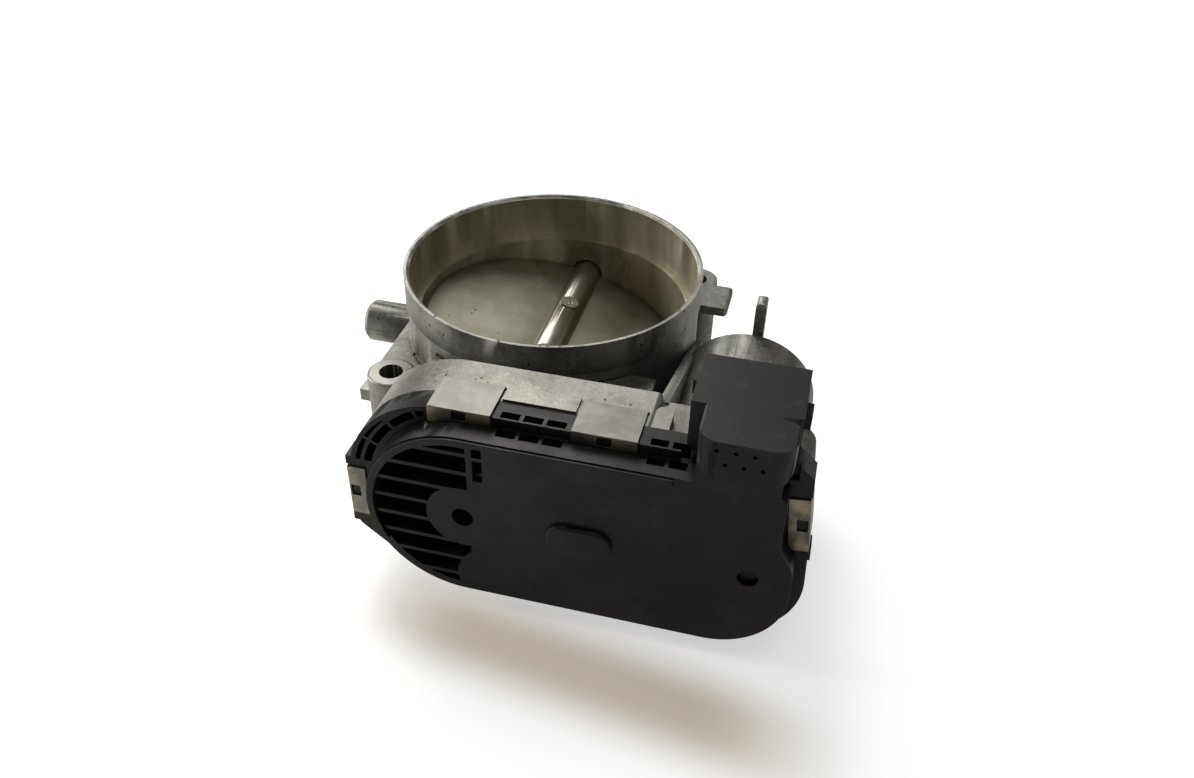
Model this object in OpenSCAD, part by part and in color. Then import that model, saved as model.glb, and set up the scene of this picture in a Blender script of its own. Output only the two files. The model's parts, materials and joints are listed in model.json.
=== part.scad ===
// Electronic throttle body. Origin: bore axis on the outlet flange face.
// +Z points to the inlet, the gear cover faces -Y, the motor stands on the +X side.

/* [Bore and tube] */
// Diameter of the throttle bore
bore_d = 82; // [74:1:100]
// Wall of the tube around the throttle bore
tube_wall = 4; // [3:0.25:6]
// Depth of the wider inlet above its ledge
inlet_depth = 15; // [8:1:20]
// Length of the collar that takes the air hose
collar_l = 9.4; // [8:0.2:12]
// Step by which the collar stands out from the tube
collar_step = 0.5; // [0.3:0.1:1]
// Wall of the inlet collar at the rim
inlet_wall = 1.65; // [1.2:0.05:2.5]
// Height of the inlet rim above the shaft axis
rim_above_shaft = 27.5; // [24:0.5:34]

/* [Mounting flange] */
// Diameter of a bolt hole
bolt_hole_d = 7; // [6.4:0.2:8]
// Diameter of a bolt boss
bolt_boss_d = 14; // [12:0.5:17]
// Gap between the tube and a bolt boss
bolt_boss_gap = 2.45; // [1:0.05:5]
// Height of a bolt boss above the shaft axis
boss_above_shaft = 6; // [2:0.5:10]
// Thickness of the flange plate
flange_t = 8; // [5:0.5:12]

/* [Shaft and throttle plate] */
// Diameter of the throttle shaft
shaft_d = 10; // [8:0.5:12]
// Thickness of the throttle plate
plate_t = 2.5; // [1.5:0.25:3]
// Gap between the plate edge and the bore
plate_gap = 0.15; // [0.1:0.05:0.3]
// Tilt of the plate at rest, held open by the default spring
rest_tilt = 12.6; // [8:0.1:16]
// Tilt of the plate on its closed stop
closed_tilt = 5.5; // [3:0.1:7]
// Tilt of the plate on its open stop
open_tilt = 90; // [80:1:90]
// Distance between the two plate screws
plate_screw_pitch = 28; // [20:1:40]
// Thread diameter of a plate screw
plate_screw_d = 3.2; // [2.5:0.1:4]
// Radial running gap of every shaft in its bearing
run_gap = 0.03; // [0.02:0.01:0.08]

/* [Gears] */
// Full-circle teeth of the sector gear on the throttle shaft
sector_teeth = 49; // [44:1:52]
// Teeth of the small idler gear
idler_small_teeth = 15; // [14:1:18]
// Teeth of the large idler gear
idler_large_teeth = 63; // [56:1:66]
// Teeth of the motor pinion
pinion_teeth = 13; // [13:1:16]
// Module of the motor stage as a share of the sector stage's module
fine_module_share = 0.8; // [0.7:0.05:0.9]
// Distance from the tube's outside to the motor axis
motor_offset = 17.4; // [16:0.1:22]
// Play between meshing teeth, taken off each tooth
backlash = 0.14; // [0.1:0.01:0.2]

/* [Gear case] */
// Open valley between the tube and the gear case
valley = 12; // [11:0.5:18]
// Depth of the case from its back to the joint face
case_depth = 14; // [13:0.5:18]
// Thickness of the case walls
case_wall = 2.5; // [2:0.1:3]
// Thickness of the case floor
case_floor = 3; // [2.5:0.25:4]
// Room around the large idler gear
gear_room = 1.12; // [0.8:0.02:2]
// Height of the case above the flange face
case_lift = 3; // [2:0.5:6]

/* [Motor] */
// Diameter of the motor can
motor_d = 35; // [32:0.5:36]
// Length of the motor can
motor_l = 43; // [38:0.5:45]
// Wall of the cast motor barrel
barrel_wall = 2.4; // [2:0.1:3]
// Gap between the motor can and its barrel
motor_gap = 0.1; // [0.05:0.05:0.3]
// Diameter of the motor shaft
motor_shaft_d = 3; // [2.5:0.1:4]

/* [Cover and connector] */
// Depth of the cover's clamped flange
cover_flange_t = 7; // [6:0.5:9]
// Depth of the cover's raised front
cover_front_t = 6.6; // [6:0.2:9]
// Wall of the cover
cover_wall = 2.2; // [1.8:0.1:2.5]
// Radius of the round end of the raised front
lobe_r = 26.3; // [25:0.1:28]
// Width of the connector shroud
plug_w = 25.8; // [25:0.1:28]
// Height of the connector shroud
plug_h = 15.8; // [15:0.1:18]
// Depth of the connector socket
plug_depth = 15; // [12:0.5:16]
// Pitch of the connector pins in a row
pin_pitch = 4.2; // [4:0.1:4.4]

/* [Clips] */
// Width of a spring clip
clip_w = 16.4; // [12:0.2:17]
// Thickness of the clip's spring steel
clip_t = 0.7; // [0.5:0.1:1]

/* [Hidden] */
$fn = 96;

bore_r = bore_d / 2;
tube_r = bore_r + tube_wall;
inlet_r = tube_r - inlet_wall;
shaft_r = shaft_d / 2;
boss_r = bolt_boss_d / 2;
bolt_pitch = round(2 * sqrt(2) * (tube_r + boss_r + bolt_boss_gap)) / 2;

// Gear train: both stages lie on one level line from the throttle shaft to the motor
motor_x = tube_r + motor_offset;
coarse_m = motor_x / ((sector_teeth + idler_small_teeth) / 2
    + fine_module_share * (idler_large_teeth + pinion_teeth) / 2);
fine_m = coarse_m * fine_module_share;
addendum = 0.85;
dedendum = 1.15;
idler_x = coarse_m * (sector_teeth + idler_small_teeth) / 2;
sector_tip_r = coarse_m * (sector_teeth / 2 + addendum);
idler_tip_r = fine_m * (idler_large_teeth / 2 + addendum);

// Heights
shaft_z = case_lift + case_wall + gear_room + idler_tip_r;
body_h = shaft_z + rim_above_shaft;
boss_h = shaft_z + boss_above_shaft;
case_bottom = case_lift;
case_top = 2 * shaft_z - case_bottom - 0.5;

// Distances in front of the bore axis
case_back = tube_r + valley;
floor_face = case_back + case_floor;
joint = case_back + case_depth;
cover_flange = joint + cover_flange_t;
cover_face = cover_flange + cover_front_t;
sector_back = floor_face + 2;
sector_front = sector_back + 6;
large_back = sector_front + 1.5;
large_front = large_back + 4;
idler_front = large_front + 1.2;

// Case outline as corners [x, z, radius], pulled in by an inset
case_left = -33.5;
case_right_top = motor_x + 21.2;
case_right_low = motor_x + 24.6;
shelf_x = motor_x - 17.4;
shelf_drop = 2.5;
function case_corners(in) = [
    [case_left + in, case_top - in, 27.5 - in],
    [shelf_x + in * 0.4, case_top - in, 1.2],
    [shelf_x + in * 0.4, case_top - shelf_drop - in, 1.2],
    [case_right_top - in, case_top - shelf_drop - in, 5 - in],
    [case_right_low - in, shaft_z - 6, 8],
    [case_right_low - in, case_bottom + in, 22 - in],
    [-16.5 + in * 0.4, case_bottom + in, 14],
    [case_left + in, shaft_z - 15.5 + in * 0.4, 5]
];

// Raised front of the cover: the round end follows the throttle shaft
front_top = shaft_z + lobe_r;
front_bottom = shaft_z - lobe_r;
front_right = motor_x + 17.3;
front_bulge = motor_x + 21.3;
function front_corners(in) = [
    [-lobe_r + in, front_top - in, lobe_r - in - 0.1],
    [front_right - in, front_top - in, 3],
    [front_right - in, shaft_z + 9, 4],
    [front_bulge - in, shaft_z + 3, 6],
    [front_bulge - in, front_bottom + in, 20 - in],
    [-lobe_r + in, front_bottom + in, lobe_r - in - 0.1]
];

// Throttle bearings and seals
seal_from = bore_r + 2.5;
seal_t = 3;
bearing_from = seal_from + seal_t + 0.5;
bearing_l = 10;
bearing_r = shaft_r + 2;
rear_hub_end = bearing_from + bearing_l + 3;
rear_hub_r = bearing_r + 5;
gear_seat_r = shaft_r - 1;
gear_seat_from = floor_face + 0.5;
shaft_front = sector_front + 2;
spring_in_r = bearing_r + 2;
spring_out_r = spring_in_r + 6.5;
spring_back = bearing_from + 1.5;
spring_wire = 1.5;

// Sector travel, seen from the front and counted anticlockwise
closed_move = rest_tilt - closed_tilt;
open_move = open_tilt - rest_tilt;
sector_low = -closed_move - 14;
sector_high = open_move + 14;
board_front = cover_flange - cover_wall;
stop_r = 2;
stop_at = sector_tip_r - 7.5;
stop_lead = asin((stop_r + 0.3) / stop_at);

// Idler
idler_pin_r = 2.5;
pin_socket_gap = 0.05;

// Motor
can_r = motor_d / 2;
can_wall = 1.2;
pocket_r = can_r + motor_gap;
barrel_r = pocket_r + barrel_wall;
can_front = case_back + 1;
can_back = can_front - motor_l;
pocket_end = can_back - 1.2;
barrel_end = pocket_end - 4.3;
motor_shaft_r = motor_shaft_d / 2;
bush_r = 4;
magnet_in_r = can_r - can_wall - 2.2;
armature_r = magnet_in_r - 0.5;
motor_screw_at = can_r + 3.6;
motor_screw_r = 1.5;
blade_z = 9;

// Connector: x runs across, z upwards, the socket opens towards +Y
plug_left = motor_x - 8;
plug_right = plug_left + plug_w;
plug_low = case_top - shelf_drop + 1;
plug_top = plug_low + plug_h;
plug_mouth = case_back;
plug_floor = plug_mouth + plug_depth;
plug_front = plug_floor + 4.6;
bulge_left = plug_left + 3.4;
bulge_right = plug_right - 0.4;
bulge_face = cover_face + 5;
bulge_low = plug_low + 5;
pin_low_z = plug_low + 7.5;
mark_lift = 2.2;
pin_high_z = pin_low_z + 3.6;
pin_first_x = bulge_left + 4.8;
pin_stagger = 2.1;
pins = [for (i = [0:2]) each [
    [pin_first_x + i * pin_pitch, pin_high_z],
    [pin_first_x + pin_stagger + i * pin_pitch, pin_low_z]
]];

// Spring clips: [x, z, turn], the turn brings the clip's top side outwards
clip_back = joint - 5;
clip_front = cover_flange + 0.5;
clip_leg = 4.4;
clip_hook = 2;
right_lean = atan((case_right_low - case_right_top) / (case_top - shelf_drop - shaft_z + 6));
clip_right_z = shaft_z + 13.3;
clip_right_x = case_right_top
    + (case_top - shelf_drop - clip_right_z) * tan(right_lean);
clips = [
    [-1.7, case_top, 0],
    [34.9, case_top, 0],
    [-1.7, case_bottom, 180],
    [34.9, case_bottom, 180],
    [case_left, shaft_z - 4, -90],
    [clip_right_x, clip_right_z, 90 - right_lean]
];

// Rounds the corners of an outline given as [x, y, radius]
function unit(v) = v / norm(v);
function corner_arc(a, b, c, r, n) = let(
    u = unit(a - b),
    v = unit(c - b),
    half = acos(u * v) / 2,
    o = b + unit(u + v) * r / sin(half),
    s = b + u * r / tan(half) - o,
    side = u[0] * v[1] - u[1] * v[0] > 0 ? -1 : 1,
    sweep = side * (180 - 2 * half)
) [for (i = [0:n]) let(t = sweep * i / n)
    o + [s[0] * cos(t) - s[1] * sin(t), s[0] * sin(t) + s[1] * cos(t)]];
function flat(p) = [p[0], p[1]];
function rounded(p) = let(n = len(p)) [for (i = [0:n - 1]) each corner_arc(
    flat(p[(i + n - 1) % n]), flat(p[i]), flat(p[(i + 1) % n]), p[i][2], p[i][2] > 12 ? 18 : 6)];

// Involute tooth: half angle of a tooth at radius r
function inv(r, base_r) = r <= base_r ? 0 :
    let(a = acos(base_r / r)) tan(a) * 180 / PI - a;
function half_tooth(r, pitch_r, teeth) = let(base_r = pitch_r * cos(20))
    90 / teeth - backlash / pitch_r * 90 / PI + inv(pitch_r, base_r) - inv(r, base_r);
function gear_outline(teeth, m, turn) = let(
    pitch_r = m * teeth / 2,
    root_r = pitch_r - m * dedendum,
    tip_r = pitch_r + m * addendum,
    steps = [for (k = [0:4]) root_r + (tip_r - root_r) * k / 4]
) [for (i = [0:teeth - 1]) let(mid = turn + 360 * i / teeth) each concat(
    [for (r = steps) let(a = mid - half_tooth(r, pitch_r, teeth)) r * [cos(a), sin(a)]],
    [for (k = [4:-1:0]) let(r = steps[k], a = mid + half_tooth(r, pitch_r, teeth))
        r * [cos(a), sin(a)]]
)];

// Extrudes a front view (x across, z up) between two distances in front of the bore axis
module front(from, to) {
    translate([0, -from, 0])
        rotate([90, 0, 0])
            linear_extrude(height = to - from)
                children();
}

module rod(x, z, r, from, to) {
    translate([x, -from, z])
        rotate([90, 0, 0])
            cylinder(r = r, h = to - from);
}

module ring(x, z, r_out, r_in, from, to) {
    difference() {
        rod(x, z, r_out, from, to);
        rod(x, z, r_in, from - 1, to + 1);
    }
}

module case_shape(in) {
    polygon(rounded(case_corners(in)));
}

module front_shape(in) {
    polygon(rounded(front_corners(in)));
}

module at_bolts() {
    for (sx = [-1, 1], sy = [-1, 1])
        translate([sx * bolt_pitch / 2, sy * bolt_pitch / 2, 0])
            children();
}

module at_clip(c) {
    translate([c[0], 0, c[1]])
        rotate([0, c[2], 0])
            children();
}

module span(x0, x1, y0, y1, z0, z1) {
    translate([x0, y0, z0])
        cube([x1 - x0, y1 - y0, z1 - z0]);
}

// Housing -----------------------------------------------------------------

module flange_and_bosses() {
    translate([-bolt_pitch / 2, -bolt_pitch / 2 - boss_r, 0])
        cube([bolt_pitch, bolt_pitch + bolt_boss_d, flange_t]);
    translate([-bolt_pitch / 2 - boss_r, -bolt_pitch / 2, 0])
        cube([bolt_pitch + bolt_boss_d, bolt_pitch, flange_t]);
    at_bolts()
        cylinder(r = boss_r, h = boss_h);
    web_w = boss_r * 1.5;
    for (turn = [45:90:315])
        rotate(turn)
            translate([tube_r - 6, -web_w / 2, 0])
                cube([bolt_pitch / sqrt(2) - tube_r + 6, web_w, boss_h - 0.8]);
    // Side walls that run from the left bosses along the tube
    wall_x = bolt_pitch / 2 + boss_r - 1;
    for (start = [-bolt_pitch / 2, 4])
        translate([-wall_x, start, 0])
            cube([8, bolt_pitch / 2 - 4, boss_h - 1.5]);
}

module case_body() {
    front(case_back, joint)
        case_shape(0);
    // Solid neck that carries the case on the tube
    span(-24, shelf_x - 6, -case_back - 1, -bore_r + 8, case_bottom + 5, shaft_z + 15);
    rod(0, shaft_z, rear_hub_r + 6, bore_r - 6, case_back + 1);
    // Gusset from the case down to the right boss
    translate([shelf_x - 1, 0, 0])
        rotate([90, 0, 90])
            linear_extrude(height = 2.6)
                polygon([[-case_back - 1, case_top - 2], [-case_back - 1, flange_t],
                    [2, flange_t], [2, boss_h]]);
    // Raised pad between the clips and a short rib with a round end on the shelf
    span(7.2, 26, -joint, -case_back - 8, case_top - 1, case_top + 0.6);
    span(shelf_x - 0.3, shelf_x + 4.1, -joint, -joint + 6.5, case_top - 5, case_top);
    translate([shelf_x + 1.9, -joint + 6.5, case_top - 5])
        cylinder(r = 2.2, h = 5);
}

module barrel() {
    rod(motor_x, shaft_z, barrel_r, barrel_end + 1.5, case_back + 1);
    translate([motor_x, -barrel_end, shaft_z])
        rotate([90, 0, 0])
            cylinder(r1 = barrel_r - 1.3, r2 = barrel_r, h = 1.5);
    // Lug on the barrel's end
    span(motor_x - 0.2, motor_x + 2.8, -barrel_end - 1, -barrel_end + 5, shaft_z, shaft_z + 30);
    // Feet that tie the barrel to the flange
    span(bolt_pitch / 2 - 8, motor_x, -case_back - 1, -barrel_end - 10, 0, flange_t);
    span(motor_x - 3, motor_x + 3, -case_back - 1, -barrel_end - 3, case_bottom, shaft_z - 10);
}

module tube_fittings() {
    rear = bore_r - 6;
    translate([0, rear, shaft_z])
        rotate([-90, 0, 0])
            cylinder(r = rear_hub_r, h = rear_hub_end - rear);
    // Side stub with a turned end
    translate([-tube_r + 3, 0, shaft_z - 4.5])
        rotate([0, -90, 0]) {
            cylinder(r = 6.7, h = 19.5);
            translate([0, 0, 19.5])
                cylinder(r1 = 6.7, r2 = 5.5, h = 1.3);
        }
    // Flat lug beside the rear right boss
    span(bolt_pitch / 2, bolt_pitch / 2 + 12.9, bolt_pitch / 2 - 16, bolt_pitch / 2 - 2.5,
        boss_h - 3, boss_h);
    // Small lug on the front left boss
    span(-bolt_pitch / 2 - 9.5, -bolt_pitch / 2, -bolt_pitch / 2 - 2.5, -bolt_pitch / 2 + 2.5,
        boss_h - 10.5, boss_h - 6.5);
}

module housing_cuts() {
    translate([0, 0, -1])
        cylinder(r = bore_r, h = body_h + 2);
    translate([0, 0, body_h - inlet_depth])
        cylinder(r = inlet_r, h = inlet_depth + 1);
    translate([0, 0, body_h - 0.8])
        cylinder(r1 = inlet_r, r2 = inlet_r + 0.9, h = 0.9);
    at_bolts()
        translate([0, 0, -1])
            cylinder(r = bolt_hole_d / 2, h = boss_h + 2);
    // Shaft tunnel, seal seats, bearing seats and the plug seat
    rod(0, shaft_z, shaft_r + 0.4, -rear_hub_end - 1, case_back + 10);
    rod(0, shaft_z, bearing_r, seal_from, case_back + 10);
    rod(0, shaft_z, bearing_r, -rear_hub_end - 1, -seal_from);
    rod(0, shaft_z, bearing_r + 1.5, -rear_hub_end - 1, -rear_hub_end + 2);
    ring(0, shaft_z, spring_out_r, spring_in_r, spring_back, floor_face + 1);
    // Gear room and motor pocket
    front(floor_face, joint + 1)
        case_shape(case_wall);
    rod(motor_x, shaft_z, pocket_r, pocket_end, joint);
    // Slots in which the clips hook
    for (c = clips)
        at_clip(c)
            span(-clip_w / 2 - 0.3, clip_w / 2 + 0.3, -clip_back - clip_t - 0.2, -clip_back + 0.3,
                -clip_hook - 0.3, 1);
}

module gear_room_posts() {
    // Hub around the shaft bearing, post of the idler pin and the two travel stops
    difference() {
        rod(idler_x, shaft_z, idler_pin_r + 2.5, case_back + 1, floor_face + 1);
        rod(idler_x, shaft_z, idler_pin_r, case_back + 0.5, floor_face + 2);
    }
    for (a = [sector_high + closed_move + stop_lead, sector_low - open_move - stop_lead])
        rod(stop_at * cos(a), shaft_z + stop_at * sin(a), stop_r, case_back + 1, sector_front);
    // Lands that take the motor screws
    for (a = [45, 225])
        difference() {
            rod(motor_x + motor_screw_at * cos(a), shaft_z + motor_screw_at * sin(a), 3.2,
                case_back + 1, floor_face + 0.4);
            rod(motor_x + motor_screw_at * cos(a), shaft_z + motor_screw_at * sin(a),
                motor_screw_r, case_back - 1, joint);
            rod(motor_x, shaft_z, pocket_r, case_back, joint);
        }
}

module housing() {
    color("#a8a7a2") {
        difference() {
            union() {
                cylinder(r = tube_r - collar_step, h = body_h);
                translate([0, 0, body_h - collar_l])
                    cylinder(r = tube_r, h = collar_l);
                flange_and_bosses();
                case_body();
                barrel();
                tube_fittings();
            }
            housing_cuts();
            rod(idler_x, shaft_z, idler_pin_r, case_back + 0.5, joint);
            for (a = [45, 225])
                rod(motor_x + motor_screw_at * cos(a), shaft_z + motor_screw_at * sin(a),
                    motor_screw_r, case_back - 5, joint);
        }
        gear_room_posts();
    }
}

// Cover ---------------------------------------------------------------------

module lobe_pockets() {
    // Deep pockets between level ribs in the round end
    rib_pitch = 6;
    rib_t = 1.1;
    difference() {
        intersection() {
            translate([0, shaft_z])
                circle(r = lobe_r - 2.4);
            translate([-lobe_r, front_bottom])
                square([lobe_r + 1.8, 2 * lobe_r]);
        }
        for (i = [-3:4])
            translate([-lobe_r, shaft_z - 3 + i * rib_pitch - rib_t / 2])
                square([2 * lobe_r, rib_t]);
        translate([0, shaft_z])
            circle(r = 9.8);
        translate([8, shaft_z - 20.5])
            circle(r = 10.3);
    }
    // Two narrow slots beside the ribs
    translate([3.4, shaft_z + 20.9])
        square([2.6, 3.4]);
    translate([3.4, shaft_z + 13.2])
        square([2.6, 6.6]);
}

module flange_cells() {
    // Cells of the flange around the round end, split by a thin curved rib
    difference() {
        intersection() {
            case_shape(1.3);
            translate([0, shaft_z])
                circle(r = 33.3);
            translate([-40, shaft_z + 7])
                square([29, 40]);
        }
        translate([0, shaft_z])
            circle(r = lobe_r + 1.6);
        difference() {
            translate([0, shaft_z])
                circle(r = 31);
            translate([0, shaft_z])
                circle(r = 30);
        }
        for (a = [118:17:170])
            translate([0, shaft_z])
                rotate(a)
                    translate([20, -0.45])
                        square([20, 0.9]);
    }
}

module ladder(x0, x1, cells) {
    // Row of cells in the flange's upper side and a row in the raised front's upper side
    wide = (x1 - x0) / cells;
    for (i = [0:cells - 1]) {
        left = x0 + i * wide + 0.5;
        span(left, left + wide - 1, -cover_flange + 0.6, -cover_flange + 3, case_top - 3, case_top + 1);
        span(left, left + wide - 1, -cover_flange - 3.4, -cover_flange - 0.6,
            front_top - 2, front_top + 2);
    }
}

module connector_outside() {
    span(plug_left, plug_right, -plug_front, -plug_mouth, plug_low, plug_top);
    // Raised base of the connector, rounded in front view and in plan
    intersection() {
        front(joint, bulge_face)
            polygon(rounded([[bulge_left, plug_top, 0.6], [bulge_right, plug_top, 0.6],
                [bulge_right, bulge_low, 4.5], [bulge_left, bulge_low, 4.5]]));
        translate([0, 0, front_top])
            linear_extrude(height = plug_top)
                polygon(rounded([[bulge_left, -joint, 0.5], [bulge_right, -joint, 0.5],
                    [bulge_right, -bulge_face, 5], [bulge_left, -bulge_face, 5]]));
    }
    span(bulge_left, bulge_right - 1.8, -cover_face, -joint, front_top - 8, plug_top - 4);
    // Locking lugs on both sides
    span(plug_left - 1.2, plug_left + 1, -plug_mouth - 9, -plug_mouth - 4.5, plug_top - 6, plug_top - 2);
    span(plug_right - 1, plug_right + 1.6, -plug_mouth - 14, -plug_mouth - 9, plug_top - 7, plug_top - 3);
}

module connector_inside() {
    span(plug_left + 2.4, plug_right - 2.4, -plug_floor, -plug_mouth + 1, plug_low + 2.2, plug_top - 2.4);
    // Room for the pins behind the base, open to the gear room
    span(bulge_left + 2.2, bulge_right - 4, -cover_face + 2.6, -plug_floor - 3.2,
        case_top - 16, plug_top - 6);
    span(bulge_left + 2.6, bulge_right - 2.6, -bulge_face + 2.6, -cover_face + 2.4,
        bulge_low + 2.2, plug_top - 2.6);
    span(bulge_left + 2.6, bulge_right - 2.6, -cover_face + 2.8, -plug_floor - 3.2,
        bulge_low + 2.2, plug_top - 2.6);
    for (p = pins) {
        span(p[0] - 0.32, p[0] + 0.32, -plug_floor - 4, -plug_floor + 1, p[1] - 0.32, p[1] + 0.32);
        rod(p[0], p[1] + mark_lift, 0.55, bulge_face - 0.9, bulge_face + 1);
    }
    // Wedge grooves where the shroud meets its base
    translate([0, 0, plug_low - 1])
        linear_extrude(height = plug_h + 2) {
            polygon([[plug_left - 1, -plug_front + 0.2], [plug_left + 4, -plug_front - 0.5],
                [plug_left - 1, -plug_front - 2.6]]);
            polygon([[plug_right + 1, -plug_front + 0.2], [plug_right - 5.4, -plug_front - 0.5],
                [plug_right + 1, -plug_front - 3.2]]);
        }
}

module clip_lugs() {
    // Stops moulded beside the side clips
    for (c = [clips[4], clips[5]], side = [-1, 1])
        at_clip(c)
            span(side * (clip_w / 2 + 1.8) - 1.4, side * (clip_w / 2 + 1.8) + 1.4,
                -cover_flange, -joint - 1, -2, 1);
    // Large slanted stop above the right clip
    front(joint + 0.5, cover_flange)
        polygon([[bulge_right - 2, clip_right_z + clip_w / 2 + 0.4], [bulge_right - 2, plug_low + 4],
            [bulge_right + 0.6, plug_low + 4], [case_right_top + 1.2, clip_right_z + clip_w / 2 + 6],
            [case_right_top + 0.8, clip_right_z + clip_w / 2 + 0.4]]);
    for (c = [clips[2], clips[3]])
        at_clip(c)
            span(clip_w / 2 + 0.5, clip_w / 2 + 2.3, -cover_flange, -cover_flange + 4, -1, 1.6);
}

module cover() {
    color("#2c2c2f")
        difference() {
            union() {
                front(joint, cover_flange)
                    case_shape(0);
                span(shelf_x - 2, bulge_left + 1, -cover_flange, -joint, front_top - 2, case_top);
                front(joint + 1, cover_face)
                    front_shape(0);
                // Raised rim along the top and around the round end
                front(cover_face - 1, cover_face + 0.9)
                    difference() {
                        intersection() {
                            front_shape(0.4);
                            translate([-40, shaft_z - 12])
                                square([93, 60]);
                        }
                        front_shape(2.3);
                    }
                // Long boss in the middle of the front
                for (x = [idler_x - 5.3, idler_x + 2.7])
                    rod(x, shaft_z, 4.5, cover_face - 1, cover_face + 1.5);
                span(idler_x - 5.3, idler_x + 2.7, -cover_face - 1.5, -cover_face + 1,
                    shaft_z - 4.5, shaft_z + 4.5);
                connector_outside();
                clip_lugs();
            }
            // Gear room
            front(joint - 1, cover_flange - cover_wall)
                case_shape(case_wall);
            front(joint, cover_face - cover_wall)
                polygon(rounded([[-0.5, front_top - cover_wall, 3],
                    [front_right - cover_wall, front_top - cover_wall, 3],
                    [front_right - cover_wall, front_bottom + cover_wall, 16],
                    [-0.5, front_bottom + cover_wall, 3]]));
            // Groove of the seal
            front(joint - 1, joint + 0.8)
                difference() {
                    case_shape(0.65);
                    case_shape(1.85);
                }
            front(cover_face - 4.2, cover_face + 2)
                lobe_pockets();
            front(cover_flange - 4, cover_flange + 1)
                flange_cells();
            ladder(8, 25.6, 3);
            ladder(shelf_x + 0.3, bulge_left - 1.8, 2);
            // Blind moulding holes on the shaft axis and over the motor
            rod(0, shaft_z, 2.9, cover_face - 3.6, cover_face + 2);
            rod(motor_x + 10.8, shaft_z - 1.6, 2.6, cover_face - 1.5, cover_face + 2);
            connector_inside();
            rod(idler_x, shaft_z, idler_pin_r + pin_socket_gap, joint, cover_face - 1);
            // Room for the clips' front legs
            for (c = clips)
                at_clip(c)
                    span(-clip_w / 2 - 0.3, clip_w / 2 + 0.3, -clip_front - 0.5, -cover_flange,
                        -clip_leg - 0.4, 1);
        }
}

module cover_seal() {
    color("#3b3b3a")
        front(joint, joint + 0.8)
            difference() {
                case_shape(0.65);
                case_shape(1.85);
            }
}

module cover_clips() {
    color("#d8d6cf")
        for (c = clips)
            at_clip(c)
                difference() {
                    union() {
                        span(-clip_w / 2, clip_w / 2, -clip_front, -clip_back, 0, clip_t);
                        span(-clip_w / 2, clip_w / 2, -clip_back - clip_t, -clip_back,
                            -clip_hook, clip_t);
                        span(-clip_w / 2, clip_w / 2, -clip_front, -clip_front + clip_t * 0.6,
                            -clip_leg, clip_t);
                    }
                    // Tool hole in the front leg
                    span(-1.8, 1.8, -clip_front - 1, -clip_front + 1, -2.4, 0.2);
                }
}

module connector_pins() {
    color("#c9c4b0")
        for (p = pins) {
            span(p[0] - 0.32, p[0] + 0.32, -plug_floor - 5, -plug_mouth - 3, p[1] - 0.32, p[1] + 0.32);
            span(p[0] - 0.32, p[0] + 0.32, -plug_floor - 5, -plug_floor - 4.3,
                case_top - 8, p[1] + 0.32);
        }
}

module sensor_board() {
    color("#2f5a3c")
        front(board_front - 1.6, board_front)
            translate([-14, shaft_z - 8])
                square([18, 16]);
    color("#1d1d1f")
        span(-2.5, 2.5, -board_front + 1.6, -board_front + 2.9, shaft_z - 2.5, shaft_z + 2.5);
}

module motor_contacts() {
    color("#c4ab6a")
        for (side = [-1, 1])
            span(motor_x - 1.5, motor_x + 1.5, -cover_face + cover_wall, -joint - 2,
                shaft_z + side * (blade_z + 4) - 0.4, shaft_z + side * (blade_z + 4) + 0.4);
}

// Throttle shaft group -------------------------------------------------------

module tilted() {
    translate([0, 0, shaft_z])
        rotate([0, rest_tilt, 0])
            children();
}

module throttle_shaft() {
    color("#8d8b85")
        difference() {
            union() {
                rod(0, shaft_z, shaft_r, -bearing_from - bearing_l + 0.5, gear_seat_from);
                rod(0, shaft_z, gear_seat_r, gear_seat_from - 1, shaft_front);
            }
            tilted() {
                translate([-shaft_d, -bore_r + 0.05, -plate_t / 2 - 0.05])
                    cube([2 * shaft_d, 2 * bore_r - 0.1, plate_t + 0.1]);
                for (side = [-1, 1])
                    translate([0, side * plate_screw_pitch / 2, 0]) {
                        translate([0, 0, -shaft_d])
                            cylinder(r = plate_screw_d / 2 + 0.02, h = 2 * shaft_d);
                        translate([0, 0, shaft_r - 1])
                            cylinder(r = plate_screw_d / 2 + 1.6, h = shaft_d);
                    }
            }
        }
}

module throttle_plate() {
    color("#9b988a")
        tilted()
            difference() {
                translate([0, 0, -plate_t / 2])
                    cylinder(r = bore_r - plate_gap, h = plate_t, $fn = 180);
                for (side = [-1, 1])
                    translate([0, side * plate_screw_pitch / 2, -shaft_d])
                        cylinder(r = plate_screw_d / 2 + 0.1, h = 2 * shaft_d);
            }
}

module plate_screws() {
    color("#c8c5bb")
        for (side = [-1, 1])
            tilted()
                translate([0, side * plate_screw_pitch / 2, 0])
                    difference() {
                        union() {
                            translate([0, 0, -shaft_r + 0.4])
                                cylinder(r = plate_screw_d / 2, h = 2 * shaft_r - 1.2);
                            translate([0, 0, shaft_r - 1])
                                cylinder(r = plate_screw_d / 2 + 1.3, h = 1.3);
                        }
                        // Six-lobed drive
                        translate([0, 0, shaft_r - 0.6])
                            linear_extrude(height = 2) {
                                circle(r = 0.95);
                                for (a = [0:60:300])
                                    rotate(a)
                                        translate([1.1, 0])
                                            circle(r = 0.4, $fn = 24);
                            }
                    }
}

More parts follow.
